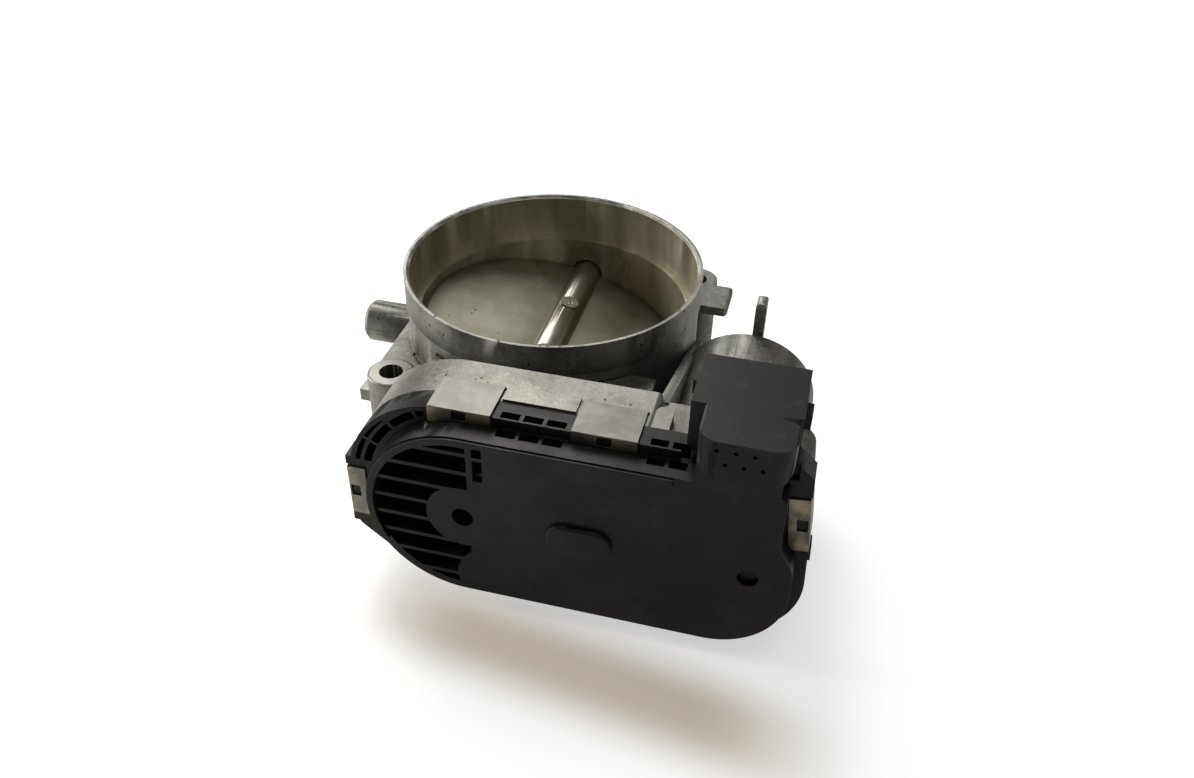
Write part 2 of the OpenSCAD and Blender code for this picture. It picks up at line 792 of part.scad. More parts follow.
module sector_gear() {
    span_a = sector_high - sector_low;
    mid = (sector_high + sector_low) / 2;
    wedge_r = 2 * sector_tip_r;
    color("#d9cfb4")
        translate([0, 0, shaft_z])
            difference() {
                union() {
                    front(sector_back, sector_front)
                        intersection() {
                            polygon(gear_outline(sector_teeth, coarse_m, 0));
                            polygon(concat([[0, 0]], [for (k = [0:6])
                                let(a = mid + span_a * (k / 6 - 0.5))
                                wedge_r * [cos(a), sin(a)]]));
                        }
                    rod(0, 0, 9, sector_back - 1.2, sector_front);
                }
                rod(0, 0, gear_seat_r, sector_back - 5, sector_front + 5);
                // Pocket that takes the moving leg of the spring
                rod(7.5 * cos(mid), 7.5 * sin(mid), 1, sector_back - 5, sector_back + 2);
            }
}

module sensor_magnet() {
    color("#55555a")
        ring(0, shaft_z, 5.2, gear_seat_r, sector_front, sector_front + 2.8);
}

// Torsion spring: a round wire swept along a coil with two straight legs
spring_mid_r = (spring_in_r + spring_out_r) / 2;
spring_turns = 4;
spring_len = floor_face - spring_back - 2.4;
function spring_point(t) = let(a = 360 * spring_turns * t)
    [spring_mid_r * cos(a), -spring_back - 1.2 - spring_len * t, spring_mid_r * sin(a)];
spring_path = concat(
    [[spring_out_r - 0.8, -spring_back - 1.2, -0.5]],
    [for (k = [0:72]) spring_point(k / 72)]
);
module return_spring() {
    sides = 8;
    n = len(spring_path);
    rings = [for (i = [0:n - 1]) let(
        p = spring_path[i],
        along = unit(spring_path[min(i + 1, n - 1)] - spring_path[max(i - 1, 0)]),
        out = unit(cross(along, [0, 1, 0])),
        up = cross(out, along)
    ) [for (j = [0:sides - 1]) p + spring_wire / 2 * (out * cos(360 * j / sides)
        + up * sin(360 * j / sides))]];
    walls = [for (i = [0:n - 2], j = [0:sides - 1]) let(k = (j + 1) % sides)
        [i * sides + j, i * sides + k, (i + 1) * sides + k, (i + 1) * sides + j]];
    ends = [[for (j = [sides - 1:-1:0]) j], [for (j = [0:sides - 1]) (n - 1) * sides + j]];
    color("#6f6e6a")
        translate([0, 0, shaft_z])
            polyhedron(points = [for (r = rings) each r], faces = concat(walls, ends));
}

module front_bearing() {
    color("#7d7f83")
        ring(0, shaft_z, bearing_r, shaft_r + run_gap, bearing_from, bearing_from + bearing_l);
}

module rear_bearing() {
    color("#7d7f83")
        ring(0, shaft_z, bearing_r, shaft_r + run_gap, -bearing_from - bearing_l, -bearing_from);
}

module front_shaft_seal() {
    color("#30302e")
        ring(0, shaft_z, bearing_r, shaft_r + run_gap, seal_from, seal_from + seal_t);
}

module rear_shaft_seal() {
    color("#30302e")
        ring(0, shaft_z, bearing_r, shaft_r + run_gap, -seal_from - seal_t, -seal_from);
}

module rear_plug() {
    color("#9a9995")
        difference() {
            rod(0, shaft_z, bearing_r + 1.5, -rear_hub_end + 0.3, -rear_hub_end + 2);
            rod(0, shaft_z, bearing_r - 1, -rear_hub_end - 1, -rear_hub_end + 1);
        }
}

// Gear train -------------------------------------------------------------------

module idler_pin() {
    color("#b9b9b6")
        rod(idler_x, shaft_z, idler_pin_r, case_back + 0.5, cover_face - 1.4);
}

module idler_gear() {
    color("#e4dcc4")
        translate([idler_x, 0, shaft_z])
            difference() {
                union() {
                    front(sector_back - 0.5, large_back)
                        polygon(gear_outline(idler_small_teeth, coarse_m, 180 / idler_small_teeth + 180));
                    front(large_back, large_front)
                        polygon(gear_outline(idler_large_teeth, fine_m, 0));
                    rod(0, 0, 5, large_back, idler_front);
                }
                rod(0, 0, idler_pin_r + run_gap, sector_back - 5, idler_front + 5);
                // Lightening recesses between the spokes
                for (a = [30:60:330])
                    rod(14.5 * cos(a), 14.5 * sin(a), 4.6, large_back - 1, large_front + 1);
            }
}

module motor_can() {
    color("#a3a4a6")
        difference() {
            rod(motor_x, shaft_z, can_r, can_back, can_front);
            rod(motor_x, shaft_z, can_r - can_wall, can_back + can_wall, can_front + 1);
            rod(motor_x, shaft_z, bush_r, can_back - 1, can_front);
        }
}

module motor_end_plate() {
    color("#34363a")
        difference() {
            union() {
                rod(motor_x, shaft_z, can_r - 0.6, can_front, floor_face + 0.6);
                for (a = [45, 225])
                    rod(motor_x + motor_screw_at * cos(a), shaft_z + motor_screw_at * sin(a), 3.2,
                        floor_face + 0.4, floor_face + 1.9);
                front(floor_face + 0.4, floor_face + 1.9)
                    translate([motor_x, shaft_z])
                        rotate(45)
                            square([2 * motor_screw_at, 6.4], center = true);
            }
            rod(motor_x, shaft_z, bush_r, case_back, joint);
            for (a = [45, 225])
                rod(motor_x + motor_screw_at * cos(a), shaft_z + motor_screw_at * sin(a),
                    motor_screw_r + 0.1, case_back, joint);
        }
    // Blades that plug into the cover's contacts
    color("#c4ab6a")
        for (side = [-1, 1])
            span(motor_x - 1.5, motor_x + 1.5, -joint - 1.4, -floor_face - 0.6,
                shaft_z + side * (blade_z + 4) - 0.4, shaft_z + side * (blade_z + 4) + 0.4);
}

module motor_screws() {
    color("#8f8f90")
        for (a = [45, 225])
            translate([motor_screw_at * cos(a), 0, motor_screw_at * sin(a)])
                difference() {
                    union() {
                        rod(motor_x, shaft_z, motor_screw_r, case_back - 4.5, floor_face + 2);
                        rod(motor_x, shaft_z, 2.8, floor_face + 1.9, floor_face + 3.9);
                    }
                    rod(motor_x, shaft_z, 1.2, floor_face + 2.6, floor_face + 5);
                }
}

module motor_magnets() {
    color("#3c3c40")
        intersection() {
            ring(motor_x, shaft_z, can_r - can_wall, magnet_in_r, can_back + 8, can_front - 7);
            for (side = [0, 180])
                front(can_back, can_front)
                    translate([motor_x, shaft_z])
                        polygon(concat([[0, 0]], [for (a = [-62:31:62])
                            2 * can_r * [cos(a + side), sin(a + side)]]));
        }
}

module motor_brushes() {
    color("#2a2a2a")
        for (side = [-1, 1])
            span(motor_x + side * 7.7 - 2.5, motor_x + side * 7.7 + 2.5, -can_front, -can_front + 4,
                shaft_z - 1.5, shaft_z + 1.5);
}

module motor_rear_bush() {
    color("#b08d57")
        ring(motor_x, shaft_z, bush_r, motor_shaft_r + run_gap, can_back, can_back + 4);
}

module motor_front_bush() {
    color("#b08d57")
        ring(motor_x, shaft_z, bush_r, motor_shaft_r + run_gap, can_front, floor_face + 0.6);
}

module motor_wave_washer() {
    color("#bdbdb8")
        ring(motor_x, shaft_z, can_r - 2, can_r - 6, pocket_end, can_back);
}

module motor_shaft() {
    color("#c2c3c5")
        rod(motor_x, shaft_z, motor_shaft_r, can_back + 0.6, idler_front);
}

module motor_armature() {
    color("#8a5a34")
        front(can_back + 9, can_front - 9)
            translate([motor_x, shaft_z])
                difference() {
                    circle(r = armature_r);
                    circle(r = motor_shaft_r);
                    for (a = [0:72:288])
                        rotate(a) {
                            translate([7, -2.2])
                                square([4.5, 4.4]);
                            translate([10, -0.9])
                                square([8, 1.8]);
                        }
                }
}

module motor_commutator() {
    color("#b87333")
        ring(motor_x, shaft_z, 5, motor_shaft_r, can_front - 6, can_front - 0.6);
}

module motor_pinion() {
    color("#b39a5e")
        translate([motor_x, 0, shaft_z])
            difference() {
                front(large_back - 0.5, large_front + 0.8)
                    polygon(gear_outline(pinion_teeth, fine_m, 180 / pinion_teeth + 180));
                rod(0, 0, motor_shaft_r, floor_face, idler_front + 5);
            }
}

housing();
cover();
cover_seal();
cover_clips();
connector_pins();
sensor_board();
motor_contacts();
throttle_shaft();
throttle_plate();
plate_screws();
sector_gear();
sensor_magnet();
return_spring();
front_bearing();
rear_bearing();
front_shaft_seal();
rear_shaft_seal();
rear_plug();
idler_pin();
idler_gear();
motor_can();
motor_end_plate();
motor_screws();
motor_magnets();
motor_brushes();
motor_rear_bush();
motor_front_bush();
motor_wave_washer();
motor_shaft();
motor_armature();
motor_commutator();
motor_pinion();
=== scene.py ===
import json
import math

import bpy
from mathutils import Matrix, Vector


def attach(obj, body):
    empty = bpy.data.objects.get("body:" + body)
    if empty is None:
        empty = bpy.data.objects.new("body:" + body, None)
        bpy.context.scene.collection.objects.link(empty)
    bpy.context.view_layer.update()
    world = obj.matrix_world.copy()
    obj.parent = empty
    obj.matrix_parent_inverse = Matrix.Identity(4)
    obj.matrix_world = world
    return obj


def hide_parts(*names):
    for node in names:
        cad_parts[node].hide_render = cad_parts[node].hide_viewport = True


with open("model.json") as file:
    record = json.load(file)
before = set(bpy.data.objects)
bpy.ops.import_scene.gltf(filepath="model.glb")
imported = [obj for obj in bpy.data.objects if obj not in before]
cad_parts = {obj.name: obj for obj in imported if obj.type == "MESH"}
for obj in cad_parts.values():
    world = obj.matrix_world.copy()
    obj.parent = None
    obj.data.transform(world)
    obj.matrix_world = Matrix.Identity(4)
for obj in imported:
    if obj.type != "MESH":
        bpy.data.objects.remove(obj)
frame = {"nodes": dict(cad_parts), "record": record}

print("frame loaded")
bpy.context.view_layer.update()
nodes = frame["nodes"]
record = frame["record"]
bodyOf = {node: body for body, members in record["behaviour"]["bodies"].items()
          for node in members}
slotOf = {row["node"]: row["material_slot"] for row in record["subparts"]}


# sets or links what a node's sockets are given
def feed(tree, node, values):
    for key, item in values.items():
        if isinstance(item, Value):
            tree.links.new(item.socket, node.inputs[key])
        elif isinstance(item, tuple) and node.inputs[key].type == "RGBA":
            node.inputs[key].default_value = item + (1.0,)
        else:
            node.inputs[key].default_value = item


# a node of any type: its settings first, then its sockets
def addNode(tree, kind, settings, values):
    node = tree.nodes.new(kind)
    for key, item in settings.items():
        setattr(node, key, item)
    feed(tree, node, values)
    return node


# wraps a node socket, so that shader maths reads as sums
class Value:
    def __init__(self, tree, socket):
        self.tree = tree
        self.socket = socket

    def math(self, kind, *others):
        node = addNode(self.tree, "ShaderNodeMath", {"operation": kind},
                       dict(enumerate((self,) + others)))
        return Value(self.tree, node.outputs[0])

    def __add__(self, other):
        return self.math("ADD", other)

    def __sub__(self, other):
        return self.math("SUBTRACT", other)

    def __mul__(self, other):
        return self.math("MULTIPLY", other)

    def __pow__(self, other):
        return self.math("POWER", other)

    def __rsub__(self, other):
        return (self * -1.0) + other

    __radd__ = __add__
    __rmul__ = __mul__

    def most(self, other):
        return self.math("MAXIMUM", other)

    def size(self):
        return self.math("ABSOLUTE")

    # zero below low, one above high, smooth between
    def step(self, low, high):
        node = addNode(self.tree, "ShaderNodeMapRange", {"interpolation_type": "SMOOTHSTEP"},
                       {0: self, 1: low, 2: high})
        return Value(self.tree, node.outputs[0])


class Material:
    def __init__(self, name):
        self.data = bpy.data.materials.new(name)
        self.data.use_nodes = True
        self.tree = self.data.node_tree
        self.tree.nodes.clear()
        output = addNode(self.tree, "ShaderNodeOutputMaterial", {}, {})
        self.surface = addNode(self.tree, "ShaderNodeBsdfPrincipled", {}, {})
        self.tree.links.new(self.surface.outputs[0], output.inputs[0])
        coords = addNode(self.tree, "ShaderNodeTexCoord", {}, {})
        self.place = Value(self.tree, coords.outputs["Object"])
        self.x, self.y, self.z = self.split(self.place)

    def node(self, kind, settings, values, output=0):
        return Value(self.tree, addNode(self.tree, kind, settings, values).outputs[output])

    def split(self, vector):
        parts = addNode(self.tree, "ShaderNodeSeparateXYZ", {}, {0: vector})
        return [Value(self.tree, parts.outputs[i]) for i in range(3)]

    def noise(self, scale, detail=3.0, rough=0.55, stretch=(1, 1, 1)):
        place = self.node("ShaderNodeMapping", {}, {"Vector": self.place, "Scale": stretch})
        return self.node("ShaderNodeTexNoise", {}, {"Vector": place, "Scale": scale,
                                                    "Detail": detail, "Roughness": rough})

    # distance from the middle of the nearest cell
    def cells(self, scale):
        return self.node("ShaderNodeTexVoronoi", {}, {"Vector": self.place, "Scale": scale})

    # inputs 6 and 7, and output 2, are the Mix node's colours
    def mix(self, factor, first, second):
        return self.node("ShaderNodeMix", {"data_type": "RGBA"},
                         {0: factor, 6: first, 7: second}, 2)

    def radius(self):
        return (self.x ** 2.0 + self.y ** 2.0) ** 0.5

    # one at a point, falling to zero at radius + soft
    def near(self, point, radius, soft):
        x, y, z = point
        square = (self.x - x) ** 2.0 + (self.y - y) ** 2.0 + (self.z - z) ** 2.0
        return 1.0 - (square ** 0.5).step(radius, radius + soft)

    # how far the surface looks upwards
    def facing(self):
        return self.split(self.node("ShaderNodeNewGeometry", {}, {}, "Normal"))[2]

    def finish(self, values, bumps=()):
        normal = None
        for height, strength, depth in bumps:
            sockets = {"Height": height, "Strength": strength, "Distance": depth}
            if normal is not None:
                sockets["Normal"] = normal
            normal = self.node("ShaderNodeBump", {}, sockets)
        if normal is not None:
            values["Normal"] = normal
        feed(self.tree, self.surface, values)
        return self.data


# cast aluminium: sandy grain, pits, oil, painted shade and dirt in the valleys, a turned
# inside
castLook = {
    "dark": (0.190, 0.187, 0.172),
    "light": (0.310, 0.307, 0.285),
    "grainTip": (0.46, 0.452, 0.42),
    "blotch": (0.105, 0.100, 0.086),
    "speck": (0.035, 0.032, 0.026),
    "turnedDark": (0.360, 0.336, 0.256),
    "turnedLight": (0.600, 0.566, 0.445),
    "stain": (0.110, 0.085, 0.045),
    "burnt": (0.030, 0.024, 0.014),
    "tan": (0.36, 0.27, 0.12),
    "soot": (0.034, 0.031, 0.025),
    "grime": (0.026, 0.024, 0.019),
    "oil": (0.070, 0.064, 0.048),
    "smudge": (0.05, 0.045, 0.035),
    "dull": (0.12, 0.115, 0.10),
    "worn": (0.50, 0.49, 0.46),
    "metallic": 0.82,
    "leastRough": 0.22,
}
# radii and heights on the housing that the looks follow
castPlaces = {
    "collarInside": (0.04335, 0.0436),
    "bore": (0.0411, 0.0413),
    "aboveOutlet": (0.002, 0.003),
    "ledge": (0.040, 0.0445),
    "tubeOutside": (0.0446, 0.0449),
    "tubeEnd": (0.0455, 0.046),
    "shaftEnd": (0.004, 0.041, 0.036),
    "caseTop": (0.014, -0.055, 0.0615),
}


def castAluminium():
    m = Material("castAluminium")
    look, at = castLook, castPlaces
    radius = m.radius()
    cloud = m.noise(38.0, 4.0, 0.6)
    grain = m.noise(900.0, 3.0, 0.7)
    base = m.mix(cloud.step(0.38, 0.62), look["dark"], look["light"])
    base = m.mix(grain.step(0.3, 0.75) * 0.35, base, look["grainTip"])
    base = m.mix(m.noise(130.0, 5.0, 0.7).step(0.50, 0.66) * 0.45, base, look["blotch"])
    specks = 1.0 - m.cells(330.0).step(0.10, 0.19)
    sparse = m.noise(60.0, 2.0).step(0.48, 0.58)
    base = m.mix(specks * sparse * 0.95, base, look["speck"])
    # the turned collar and bore
    aboveOutlet = m.z.step(*at["aboveOutlet"])
    inner = (1.0 - radius.step(*at["collarInside"])) * aboveOutlet
    streak = m.noise(70.0, 4.0, 0.6, (1, 1, 0.25))
    turned = m.mix(streak.step(0.35, 0.7), look["turnedDark"], look["turnedLight"])
    base = m.mix(inner, base, turned)
    # brown blow-by marks in the bore, on its back half, where the shaft's far end is
    bore = (1.0 - radius.step(*at["bore"])) * aboveOutlet
    back = m.y.step(0.0, 0.03)
    stain = m.noise(60.0, 3.0, 0.6, (1, 1, 0.6)).step(0.46, 0.58) * bore * back
    stain = stain * (1.0 - m.z.step(*at["ledge"]) * 0.6)
    # darker round the shaft's far end, where it meets the bore wall
    burnt = m.near(at["shaftEnd"], 0.004, 0.012) * bore
    # painted reflection: a yellowish painted highlight in patches on the bore's right side
    tan = m.noise(34.0, 2.0).step(0.45, 0.6) * bore * m.x.step(0.008, 0.02)
    base = m.mix(stain * 0.45, base, look["stain"])
    base = m.mix(burnt * 0.35, base, look["burnt"])
    base = m.mix(tan * 0.45, base, look["tan"])
    # painted shade low on the outside of the tube, in the valley, with dirt patches over it
    outer = radius.step(*at["tubeOutside"])
    valley = outer * (1.0 - m.z.step(0.030, 0.052)) * (1.0 - radius.step(0.050, 0.062))
    dirt = m.noise(48.0, 4.0, 0.65).step(0.30, 0.62)
    base = m.mix(valley * (dirt * 0.5 + 0.32), base, look["soot"])
    # painted shade on the front of the tube, under the rim, in streaks
    front = outer * (1.0 - radius.step(*at["tubeEnd"])) * (1.0 - m.y.step(-0.040, -0.012))
    shadeStreaks = m.noise(26.0, 4.0, 0.65, (1, 1, 3.0)).step(0.2, 0.5) * 0.5 + 0.5
    base = m.mix(front * ((1.0 - m.z.step(0.047, 0.0575)) * shadeStreaks) * 0.93, base, look["grime"])
    oil = m.noise(24.0, 4.0, 0.6).step(0.56, 0.68) * outer
    base = m.mix(oil * 0.5, base, look["oil"])
    base = m.mix(m.near(at["caseTop"], 0.0, 0.012) * 0.6 * dirt, base, look["smudge"])
    # the case's top is darker towards the cover
    caseFront = (1.0 - m.y.step(-0.062, -0.050)) * m.z.step(0.052, 0.060)
    base = m.mix(caseFront * 0.30, base, look["dull"])
    # painted highlight: the grain's tips are painted brighter on upward faces, where the
    # light from above falls
    top = m.facing().step(0.55, 0.9) * outer
    base = m.mix(top * grain.step(0.56, 0.72) * 0.35, base, look["worn"])
    rough = 0.50 - m.facing().step(0.2, 0.9) * 0.06 + grain * 0.12 - oil * 0.16
    pits = m.cells(330.0).step(0.1, 0.2) * sparse * -1.0
    return m.finish({"Base Color": base, "Roughness": rough.most(look["leastRough"]),
                     "Metallic": look["metallic"], "Specular IOR Level": 0.5},
                    ((grain, 0.32, 0.00022), (m.noise(260.0, 3.0), 0.25, 0.0004),
                     (pits, 0.15, 0.0003)))


# moulded black plastic with a fine grain, dust and faint scuffs
plasticLook = {
    "dark": (0.0028, 0.0028, 0.0030),
    "light": (0.0050, 0.0050, 0.0053),
    "connector": (0.0190, 0.0205, 0.0235),
    "dust": (0.105, 0.100, 0.090),
    "scuff": (0.050, 0.047, 0.041),
    "brown": (0.040, 0.036, 0.030),
    "rough": 0.40,
    "specular": 0.26,
}


def blackPlastic():
    m = Material("blackPlastic")
    look = plasticLook
    cloud = m.noise(45.0, 4.0, 0.6)
    base = m.mix(cloud.step(0.35, 0.7), look["dark"], look["light"])
    # painted sheen: the connector's upward faces are painted a lighter grey, as lit from
    # above
    plug = m.z.step(0.0640, 0.0670) * m.x.step(0.050, 0.054) * m.facing().step(0.3, 0.8)
    base = m.mix(plug * 0.75, base, look["connector"])
    dust = m.noise(160.0, 4.0, 0.7).step(0.56, 0.74) * m.facing().step(0.35, 0.9)
    base = m.mix(dust * 0.30, base, look["dust"])
    base = m.mix(m.noise(75.0, 5.0, 0.7).step(0.50, 0.72) * 0.20, base, look["scuff"])
    brown = m.noise(30.0, 3.0, 0.6).step(0.50, 0.66)
    base = m.mix(brown * 0.22, base, look["brown"])
    rough = look["rough"] + cloud * 0.12 + dust * 0.15 - brown * 0.06
    return m.finish({"Base Color": base, "Roughness": rough,
                     "Specular IOR Level": look["specular"]},
                    ((m.noise(2200.0, 2.0, 0.6), 0.18, 0.00010),
                     (m.noise(420.0, 3.0), 0.10, 0.0002)))


# spring steel with rolling lines, spots and warm blotches on its upright faces
clipLook = {
    "dark": (0.115, 0.113, 0.104),
    "light": (0.195, 0.192, 0.178),
    "line": (0.15, 0.145, 0.13),
    "spot": (0.05, 0.04, 0.03),
    "warm": (0.42, 0.36, 0.22),
    "rough": 0.34,
}


def clipSteel():
    m = Material("clipSteel")
    look = clipLook
    lines = m.noise(900.0, 3.0, 0.6, (1, 0.04, 0.04))
    cloud = m.noise(110.0, 3.0, 0.6)
    base = m.mix(cloud.step(0.35, 0.7), look["dark"], look["light"])
    base = m.mix(lines.step(0.4, 0.7) * 0.35, base, look["line"])
    spots = (1.0 - m.cells(420.0).step(0.08, 0.16)) * m.noise(90.0).step(0.55, 0.65)
    base = m.mix(spots, base, look["spot"])
    warm = (1.0 - m.facing().step(0.1, 0.6)) * m.noise(150.0).step(0.4, 0.6)
    base = m.mix(warm * 0.6, base, look["warm"])
    return m.finish({"Base Color": base, "Roughness": look["rough"] + cloud * 0.16,
                     "Metallic": 1.0}, ((lines, 0.06, 0.0001),))


# rolled plate with a brown film and painted shade on its right half, pits and a darker edge
plateLook = {
    "dark": (0.200, 0.190, 0.148),
    "light": (0.330, 0.318, 0.262),
    "film": (0.085, 0.072, 0.046),
    "edge": (0.090, 0.078, 0.055),
    "pit": (0.03, 0.026, 0.02),
    "fleck": (0.5, 0.48, 0.42),
    "rough": 0.40,
    "metallic": 0.85,
}


def plateMetal():
    m = Material("plateMetal")
    look = plateLook
    cloud = m.noise(42.0, 4.0, 0.6)
    base = m.mix(cloud.step(0.3, 0.7), look["dark"], look["light"])
    # brown film in patches, partly painted shade: the plate's right half, beside the shaft,
    # is darker
    film = m.noise(26.0, 3.0, 0.6).step(0.42, 0.62) * m.x.step(0.0, 0.02)
    base = m.mix(film * 0.6, base, look["film"])
    base = m.mix(m.radius().step(0.034, 0.041) * 0.55, base, look["edge"])
    pits = (1.0 - m.cells(260.0).step(0.07, 0.14)) * m.noise(70.0).step(0.50, 0.60)
    base = m.mix(pits * 0.8, base, look["pit"])
    flecks = (1.0 - m.cells(310.0).step(0.06, 0.12)) * m.noise(52.0).step(0.50, 0.60)
    base = m.mix(flecks * 0.5, base, look["fleck"])
    return m.finish({"Base Color": base, "Roughness": look["rough"] + cloud * 0.16,
                     "Metallic": look["metallic"]},
                    ((m.noise(700.0, 3.0, 0.6), 0.10, 0.00012), (pits, 0.2, 0.0002)))


# plain metals and plastics, each with fine lines and blotches of its own
def worked(name, low, high, rough, metal, scale=60.0, stretch=(1, 1, 1)):
    m = Material(name)
    cloud = m.noise(scale, 4.0, 0.6)
    lines = m.noise(1100.0, 3.0, 0.6, stretch)
    base = m.mix(cloud.step(0.35, 0.68), low, high)
    base = m.mix(lines.step(0.45, 0.75) * 0.3, base, tuple(c * 0.7 for c in low))
    return m.finish({"Base Color": base, "Roughness": rough + (lines - 0.5) * 0.12,
                     "Metallic": metal}, ((lines, 0.1, 0.0001),))


alongShaft = (1, 0.06, 1)
roundCan = (0.1, 1, 0.1)
# name, dark and light colour, roughness, how metallic, then scale of the blotches and
# run of the lines where they differ
workedLooks = {
    "seal_rubber": ("sealRubber", (0.012, 0.012, 0.012), (0.03, 0.03, 0.03), 0.75, 0.0),
    "shaft_steel": ("shaftSteel", (0.340, 0.325, 0.270), (0.520, 0.500, 0.430), 0.30, 0.95,
                    45.0, alongShaft),
    "screw_steel": ("screwSteel", (0.55, 0.54, 0.46), (0.78, 0.77, 0.68), 0.25, 1.0),
    "gear_plastic": ("gearPlastic", (0.55, 0.48, 0.33), (0.72, 0.65, 0.48), 0.42, 0.0),
    "circuit_board": ("circuitBoard", (0.01, 0.07, 0.03), (0.02, 0.13, 0.06), 0.35, 0.0),
    "contact_metal": ("contactMetal", (0.55, 0.44, 0.20), (0.75, 0.63, 0.35), 0.28, 1.0),
    "magnet_ferrite": ("magnetFerrite", (0.04, 0.04, 0.045), (0.09, 0.09, 0.10), 0.6, 0.3),
    "spring_steel": ("springSteel", (0.16, 0.16, 0.155), (0.32, 0.31, 0.29), 0.35, 1.0),
    "bearing_steel": ("bearingSteel", (0.34, 0.35, 0.37), (0.52, 0.53, 0.55), 0.28, 1.0),
    "can_steel": ("canSteel", (0.42, 0.42, 0.44), (0.62, 0.62, 0.64), 0.34, 1.0,
                  60.0, roundCan),
    "bush_bronze": ("bushBronze", (0.42, 0.28, 0.13), (0.62, 0.44, 0.22), 0.42, 1.0),
    "winding_copper": ("windingCopper", (0.30, 0.12, 0.05), (0.52, 0.24, 0.10), 0.38, 0.9),
    "commutator_copper": ("commutatorCopper", (0.5, 0.24, 0.11), (0.72, 0.38, 0.2), 0.3, 1.0),
    "carbon": ("carbon", (0.02, 0.02, 0.02), (0.05, 0.05, 0.05), 0.6, 0.1),
}
materials = {
    "cast_aluminium": castAluminium(),
    "black_plastic": blackPlastic(),
    "clip_steel": clipSteel(),
    "plate_metal": plateMetal(),
}
for slotName, look in workedLooks.items():
    materials[slotName] = worked(*look)
print("materials made", len(materials))

for name, node in nodes.items():
    node.data.materials.clear()
    node.data.materials.append(materials[slotOf[name]])


# edge rounding: a merged copy of the construction mesh stands for its node
# faces level with an axis and larger than flat (m2) are shaded flat
rounding = {
    "housing": {"width": 0.0007, "angle": 32, "steps": 2, "flat": 0.0000015},
    "cover": {"width": 0.0004, "angle": 32, "steps": 2, "flat": 0.0000008},
    "cover_clips": {"width": 0.0003, "angle": 32, "steps": 2, "flat": 0.0000005},
    "throttle_plate": {"width": 0.00025, "angle": 32, "steps": 2, "flat": 0.1},
    "throttle_shaft": {"width": 0.0002, "angle": 40, "steps": 2, "flat": 0.000002},
    "plate_screws": {"width": 0.00012, "angle": 40, "steps": 1, "flat": 0.1},
}
meshFacts = {
    "merge": 0.000004,  # m, points this close become one
    "dissolve": 0.4,    # degrees, flatter edges go
    "smooth": 28,       # degrees, sharper edges stay crisp
    "level": 0.9996,    # least part of a normal along an axis
    "broad": 0.001,     # m2, flat whatever its tilt
}

# planes that the softer edges lie in (m), and how near counts as in one
planes = {
    "coverFace": -0.0846,
    "rimFace": -0.0855,
    "longBossFace": -0.0861,
    "plugTop": 0.0758,
    "finTop": 0.0625,
    "finSide": 0.0514,
    "caseBack": -0.057,
    "bossTop": 0.0385,
}
closeBy = 0.00004
# the cover's round end and its lower right corner: middle (x, z), radius and extent
roundEnd = {"middle": (0.0, 0.0325), "radius": 0.0260, "right": 0.002, "top": 0.0200}
corner = {"middle": (0.0637, 0.0262), "radius": 0.0195, "left": 0.0630, "top": 0.0265}
coverBottom = 0.0063
coverRight = 0.0795
bolt = {"place": 0.0385, "clear": 0.0066}  # both ways from the bore's axis


def fromAxis(p, centre):
    return math.hypot(p.x - centre[0], p.z - centre[1])


# the lower outline of the cover's face; edges inside it stay crisp
def onOutline(p):
    if abs(p.y - planes["coverFace"]) > closeBy:
        return False
    onEnd = (p.x < roundEnd["right"] and p.z < roundEnd["top"]
             and fromAxis(p, roundEnd["middle"]) > roundEnd["radius"])
    onCorner = (p.x > corner["left"] and p.z < corner["top"]
                and fromAxis(p, corner["middle"]) > corner["radius"])
    return onEnd or onCorner or p.z < coverBottom or p.x > coverRight


def onRim(p):
    return abs(p.y - planes["rimFace"]) < closeBy


def onPlug(p):
    return abs(p.z - planes["plugTop"]) < closeBy and p.y < -0.080


def onLongBoss(p):
    return abs(p.y - planes["longBossFace"]) < closeBy


def onFinTop(p):
    return abs(p.z - planes["finTop"]) < closeBy and p.y > -0.02


def onFinSide(p):
    return abs(p.x - planes["finSide"]) < closeBy and p.y > 0.02


def onCaseBack(p):
    return abs(p.y - planes["caseBack"]) < closeBy and p.z > 0.040 and p.x < 0.046


# the outer edges of the left bosses, clear of their holes
def onBoss(p):
    fromBolt = math.hypot(abs(p.x) - bolt["place"], abs(p.y) - bolt["place"])
    return abs(p.z - planes["bossTop"]) < closeBy and p.x < 0 and fromBolt > bolt["clear"]


softer = {
    "cover": [
        {"where": onOutline, "width": 0.0019, "steps": 5},
        {"where": onRim, "width": 0.0006, "steps": 3},
        {"where": onPlug, "width": 0.0016, "steps": 5},
        {"where": onLongBoss, "width": 0.0007, "steps": 3},
    ],
    "housing": [
        {"where": onFinTop, "width": 0.0013, "steps": 3},
        {"where": onFinSide, "width": 0.0012, "steps": 3},
        {"where": onCaseBack, "width": 0.0014, "steps": 3},
        {"where": onBoss, "width": 0.0010, "steps": 3},
    ],
}
leastTurn = math.radians(40)  # between the two faces of an edge that is softened


def soften(piece, facts):
    mesh = piece.data
    beside = {}
    for face in mesh.polygons:
        for key in face.edge_keys:
            beside.setdefault(key, []).append(face.normal)
    bpy.ops.object.mode_set(mode="EDIT")
    bpy.ops.mesh.select_all(action="DESELECT")
    bpy.ops.mesh.select_mode(type="EDGE")
    bpy.ops.object.mode_set(mode="OBJECT")
    found = 0
    for edge in mesh.edges:
        ends = [mesh.vertices[i].co for i in edge.vertices]
        normals = beside.get(edge.key, [])
        sharp = len(normals) == 2 and normals[0].angle(normals[1], 0.0) > leastTurn
        edge.select = sharp and all(facts["where"](end) for end in ends)
        found += edge.select
    bpy.ops.object.mode_set(mode="EDIT")
    if found:
        bpy.ops.mesh.bevel(offset=facts["width"], segments=facts["steps"], affect="EDGES",
                           clamp_overlap=True)
    bpy.ops.object.mode_set(mode="OBJECT")
    print("softened", piece.name, found)


